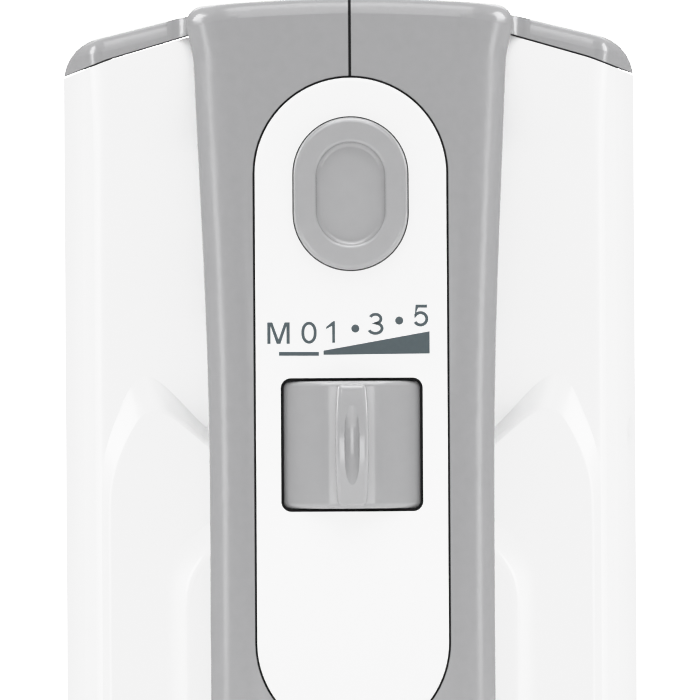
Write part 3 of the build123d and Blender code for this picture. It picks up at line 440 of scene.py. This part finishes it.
def window_path(half, half_length, middle, corner, below, steps=8):
    """Closed path round a rounded rectangle on the arch."""
    points = []
    for x_side, z_side, start in ((1, 1, 0.0), (-1, 1, 0.5), (-1, -1, 1.0), (1, -1, 1.5)):
        for step in range(steps + 1):
            turn = math.pi * (start + 0.5 * step / steps)
            x = x_side * (half - corner) + corner * math.cos(turn)
            z = middle + z_side * (half_length - corner) + corner * math.sin(turn)
            points.append(on_arch(x, z, below))
    return points


# ---------------------------------------------------------------- camera, light and floor
def make_camera():
    """A long lens from far off, a hair to the left and above, rolled a third of a degree."""
    distance = 5.0
    aside = -10 * MM
    aim = (0.135 * MM, -100 * MM, 145.0 * MM)
    dip = math.radians(0.3)
    roll = math.radians(0.34)
    width = 111.0 * MM                 # what the view takes in at the motor's axis
    data = bpy.data.cameras.new("camera")
    data.lens = 36 * distance / width
    data.clip_end = 50
    camera = link("camera", data)
    camera.location = (aside, -distance, aim[2] + (distance + aim[1]) * math.tan(dip))
    turn = math.atan((aside - aim[0]) / distance)
    camera.rotation_euler = (math.radians(90) - dip, roll, turn)
    bpy.context.scene.camera = camera


def softbox(name, turn, height, size, share, target=(0, -0.06, 0.14), distance=2.0):
    """A rectangle of light, turned round the object and raised above it, in degrees.

    Share is how bright it makes a white surface that faces it, where 1 is white.
    """
    turn, height = math.radians(turn), math.radians(height)
    level = math.cos(height)
    way = Vector((math.sin(turn) * level, -math.cos(turn) * level, math.sin(height)))
    data = bpy.data.lights.new(name, "AREA")
    data.shape = "RECTANGLE"
    data.size, data.size_y = size
    data.energy = share * (math.pi * distance) ** 2
    lamp = link(name, data)
    lamp.location = Vector(target) + way * distance
    lamp.rotation_euler = (-way).to_track_quat("-Z", "Y").to_euler()


def make_world():
    """A pale room, darker at eye level than overhead and underfoot, before a plain white backdrop."""
    world = bpy.data.worlds.new("pale_room")
    world.use_nodes = True
    tree = world.node_tree
    way = add(tree, "ShaderNodeTexCoord").outputs["Generated"]
    height = add(tree, "ShaderNodeSeparateXYZ", {"Vector": way}).outputs["Z"]
    steep = add(tree, "ShaderNodeMath", {0: height}, operation="ABSOLUTE").outputs["Value"]
    room = spread(tree, steep, room_light_level, room_light_overhead)
    seen = add(tree, "ShaderNodeLightPath").outputs["Is Camera Ray"]
    mixed = add(tree, "ShaderNodeMapRange", {"Value": seen, "To Min": room, "To Max": backdrop_light})
    background = tree.nodes["Background"]
    background.inputs["Color"].default_value = (1, 1, 1, 1)
    tree.links.new(mixed.outputs["Result"], background.inputs["Strength"])
    bpy.context.scene.world = world


def make_lights():
    """Broad boxes all round and overhead, with low bands that draw the long highlights."""
    softbox("front_band", 0, -3, (1.6, 0.4), 0.16)
    softbox("front_softbox", 0, 42, (1.8, 1.0), 0.3)
    softbox("top_softbox", 0, 75, (1.6, 1.2), 0.5)
    softbox("back_softbox", 180, 35, (1.6, 1.2), 0.2)
    for side, name in ((-1, "left"), (1, "right")):
        softbox(f"side_band_{name}", 88 * side, -2, (0.5, 0.42), 0.06)
        softbox(f"side_softbox_{name}", 104 * side, 22, (1.1, 1.1), 0.55)


def make_tone():
    """A plain view with a soft shoulder, so that white plastic keeps its shape in strong light."""
    brightest = 4.0                    # what comes out as pure white
    shoulder = [(0.2, 0.2), (0.4, 0.4), (0.6, 0.6), (0.7, 0.72), (0.8, 0.82), (0.9, 0.878),
                (1.0, 0.893), (1.2, 0.905), (1.4, 0.94), (1.65, 0.96), (2.5, 0.985)]
    settings = bpy.context.scene.view_settings
    settings.view_transform = "Standard"
    settings.use_curve_mapping = True
    mapping = settings.curve_mapping
    mapping.white_level = (brightest, brightest, brightest)
    curve = mapping.curves[3]
    for light, shown in shoulder:
        curve.points.new(light / brightest, shown)
    for point in curve.points:
        point.handle_type = "AUTO_CLAMPED"
    mapping.update()


def make_floor():
    data = bpy.data.meshes.new("floor")
    half = 1.0
    corners = [(-half, -half, 0), (half, -half, 0), (half, half, 0), (-half, half, 0)]
    data.from_pydata(corners, [], [(0, 1, 2, 3)])
    floor = link("floor", data)
    material, tree, shader = new_material("matt_white_paper", Roughness=0.9)
    tree.links.new(tint(tree, noise(tree, 30), "efefef", "f4f4f4"), shader.inputs["Base Color"])
    data.materials.append(material)


# ---------------------------------------------------------------- printing
def laid_on_arch(data, x, z):
    """Bend a flat mesh drawn in X and Y onto the panel's face, with its middle at x, z."""
    for vertex in data.vertices:
        height = z + vertex.co.y
        vertex.co = on_arch(x + vertex.co.x, height, -vertex.co.z)


def print_mark(name, data, x, z, ink):
    laid_on_arch(data, x, z)
    return finish_mesh(link(name, data), ink, "mixer_body", smooth=False)


def solid_shape(name, outline):
    """A thin solid from a flat outline, drawn anticlockwise in millimetres about its own origin."""
    mesh = bmesh.new()
    face = mesh.faces.new([mesh.verts.new((x * MM, y * MM, -ink_thickness)) for x, y in outline])
    grown = bmesh.ops.extrude_face_region(mesh, geom=[face])
    for item in grown["geom"]:
        if isinstance(item, bmesh.types.BMVert):
            item.co.z = ink_thickness
    bmesh.ops.recalc_face_normals(mesh, faces=mesh.faces)
    data = bpy.data.meshes.new(name)
    mesh.to_mesh(data)
    mesh.free()
    return data


def stroke_shape(name, points, closed=False):
    """A thin solid of a pen stroke along points in millimetres, with square ends."""
    count = len(points)
    left, right = [], []
    for index, (x, y) in enumerate(points):
        before = points[index - 1] if closed or index > 0 else points[index]
        after = points[(index + 1) % count] if closed or index < count - 1 else points[index]
        ways = []
        for (x0, y0), (x1, y1) in ((before, (x, y)), ((x, y), after)):
            length = math.hypot(x1 - x0, y1 - y0)
            if length > 0:
                ways.append(((x1 - x0) / length, (y1 - y0) / length))
        along = Vector((sum(w[0] for w in ways), sum(w[1] for w in ways))).normalized()
        reach = stroke_width / 2 / max(0.5, along.x * ways[0][0] + along.y * ways[0][1])
        left.append((x - along.y * reach, y + along.x * reach))
        right.append((x + along.y * reach, y - along.x * reach))
    mesh = bmesh.new()
    rows = []
    for height in (-ink_thickness, ink_thickness):
        rows.append([[mesh.verts.new((x * MM, y * MM, height)) for x, y in side]
                     for side in (left, right)])
    for index in range(count if closed else count - 1):
        after = (index + 1) % count
        for row in rows:
            mesh.faces.new([row[0][index], row[0][after], row[1][after], row[1][index]])
        for side in (0, 1):
            mesh.faces.new([rows[0][side][index], rows[0][side][after],
                            rows[1][side][after], rows[1][side][index]])
    if not closed:
        for end in (0, -1):
            mesh.faces.new([rows[0][0][end], rows[0][1][end], rows[1][1][end], rows[1][0][end]])
    bmesh.ops.recalc_face_normals(mesh, faces=mesh.faces)
    data = bpy.data.meshes.new(name)
    mesh.to_mesh(data)
    mesh.free()
    return data


def bow(middle, radii, start, end, steps=20):
    """Points round part of an ellipse, in millimetres and degrees."""
    turns = [math.radians(start + (end - start) * step / steps) for step in range(steps + 1)]
    return [(middle[0] + radii[0] * math.cos(turn), middle[1] + radii[1] * math.sin(turn))
            for turn in turns]


def make_scale(ink):
    """The generic speed scale: a letter, numbers and dots over a line and a wedge."""
    letter_m = [(-1.758, -1.683), (-1.228, -1.683), (-1.228, 1.06), (-0.31, -1.683), (0.31, -1.683),
                (1.228, 1.06), (1.228, -1.683), (1.758, -1.683), (1.758, 1.683), (0.94, 1.683),
                (0, -0.95), (-0.94, 1.683), (-1.758, 1.683)]
    one = [(0.70, -1.7), (0.70, 1.7), (0.41, 1.7), (-0.70, 0.81), (-0.70, 0.42), (0.22, 0.93), (0.22, -1.7)]
    zero = [(x * (1 + 0.09 * abs(math.sin(math.radians(9 * step)))), y) for step, (x, y) in
            enumerate(bow((0, 0), (0.95, 1.475), 0, 351, 39))]
    three = (bow((-0.04, 0.78), (0.85, 0.70), 158, -78, 22) + [(-0.22, 0.06)]
             + bow((-0.06, -0.69), (1.04, 0.79), 84, -160, 26))
    five = ([(0.98, 1.45), (-0.62, 1.45), (-0.86, -0.02)]
            + bow((-0.06, -0.52), (0.97, 0.96), 142, -152, 30))
    dot = bow((0, 0), (0.645, 0.645), 0, 348.75, 31)
    line = [(-3.12, -0.32), (3.12, -0.36), (3.12, 0.28), (-3.12, 0.32)]
    wedge = [(-8.26, -0.32), (8.26, -0.2), (8.26, 3.28), (-8.26, 0.37)]
    marks = [("mark_M", solid_shape, letter_m, -11.316, 147.694),
             ("mark_1", solid_shape, one, -3.219, 147.834),
             ("mark_3", stroke_shape, three, 3.795, 149.055),
             ("mark_5", stroke_shape, five, 10.817, 150.314),
             ("mark_dot_2", solid_shape, dot, 0.624, 148.344),
             ("mark_dot_4", solid_shape, dot, 7.45, 149.542),
             ("mark_line", solid_shape, line, -8.16, 144.486),
             ("mark_wedge", solid_shape, wedge, 3.905, 144.588)]
    for name, shape, points, x, z in marks:
        print_mark(name, shape(name, points), x * MM, z * MM, ink)
    print_mark("mark_0", stroke_shape("mark_0", zero, closed=True), -6.574 * MM, 147.737 * MM, ink)


# ---------------------------------------------------------------- painted shade in the gaps
def make_gap_shades(black):
    """Black cords that paint the shade in the gaps round the panel, in the key's window and round the
    button.
    """
    tree = cord_tree(black)
    middle = panel_gap / 2
    ring = stadium_path(panel_half + middle, (panel_high.z - panel_low.z) / 2 + middle, panel_middle,
                        panel_proud + panel_gap_shade_depth + middle)
    window = window_path(key_window_half - key_cord, key_half_length + key_gap - key_cord, key_middle,
                         key_window_round - key_cord, key_gap_shade_depth)
    inset = button_gap / 2
    hole = stadium_path(button_high.x + inset, (button_high.z - button_low.z) / 2 + inset, button_middle,
                        button_gap_shade_depth)
    for name, path, radius in (("panel_gap_shade", ring, middle), ("key_gap_shade", window, key_cord),
                               ("button_gap_shade", hole, button_cord)):
        round_cord(name, path, radius, tree, black, "mixer_body")


def seam_shade_strip(name, node, black, body):
    """A black strip that paints the shade in the seam between two moulded halves: their rim faces, set back
    and carried across the gap.
    """
    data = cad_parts[node].data.copy()
    mesh = bmesh.new()
    mesh.from_mesh(data)
    bmesh.ops.remove_doubles(mesh, verts=mesh.verts, dist=1e-7)
    rim = max(v.co.x for v in mesh.verts)
    outside = [f for f in mesh.faces if any(abs(v.co.x - rim) > 1e-6 for v in f.verts)]
    bmesh.ops.delete(mesh, geom=outside, context="FACES")
    edge = bmesh.ops.inset_region(mesh, faces=mesh.faces[:], thickness=seam_setback, use_even_offset=True)
    bmesh.ops.delete(mesh, geom=edge["faces"], context="FACES")
    grown = bmesh.ops.extrude_face_region(mesh, geom=mesh.faces[:])
    for item in grown["geom"]:
        if isinstance(item, bmesh.types.BMVert):
            item.co.x -= 2 * rim
    bmesh.ops.recalc_face_normals(mesh, faces=mesh.faces)
    mesh.to_mesh(data)
    mesh.free()
    obj = link(name, data)
    return finish_mesh(obj, black, body, smooth=False)


# ---------------------------------------------------------------- make it
rubber = soft_tpe()
materials = {
    "white_shell": glossy_white_abs(),
    "white_panel": panel_white_abs(),
    "grey_handle": satin_grey_abs(),
    "grey_key": polished_grey_abs(),
    "heel_rubber": rubber,
    "grey_rubber": rubber,
    "black_plastic": black_nylon(),
    "white_inner": white_acetal(),
    "gear_nylon": gear_nylon(),
    "steel": turned_steel(),
    "chrome": chromed_wire(),
    "spring_steel": spring_wire(),
    "lamination": electrical_sheet(),
    "copper_wire": enamelled_copper(),
    "commutator_copper": hard_copper(),
    "bronze": sintered_bronze(),
    "brass": drawn_brass(),
    "carbon": pressed_carbon(),
}


def dress_nodes():
    """Each CAD node takes the finish of its own slot."""
    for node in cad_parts.values():
        for place in node.material_slots:
            place.material = materials[place.material.name.split(".")[0]]


make_camera()
make_world()
make_lights()
make_floor()
dress_nodes()
make_scale(pad_printed_ink())
# Black cords and strips of painted shade, for the gaps round panel, key and button and for the seams.
gap_shade = black_gap_shade()
make_gap_shades(gap_shade)
# Black strips of painted shade in the seams of the handle and the housing.
seam_shade_strip("handle_seam_shade", "handle_left", gap_shade, "mixer_body")
seam_shade_strip("housing_seam_shade", "housing_left", gap_shade, "mixer_body")

make_tone()
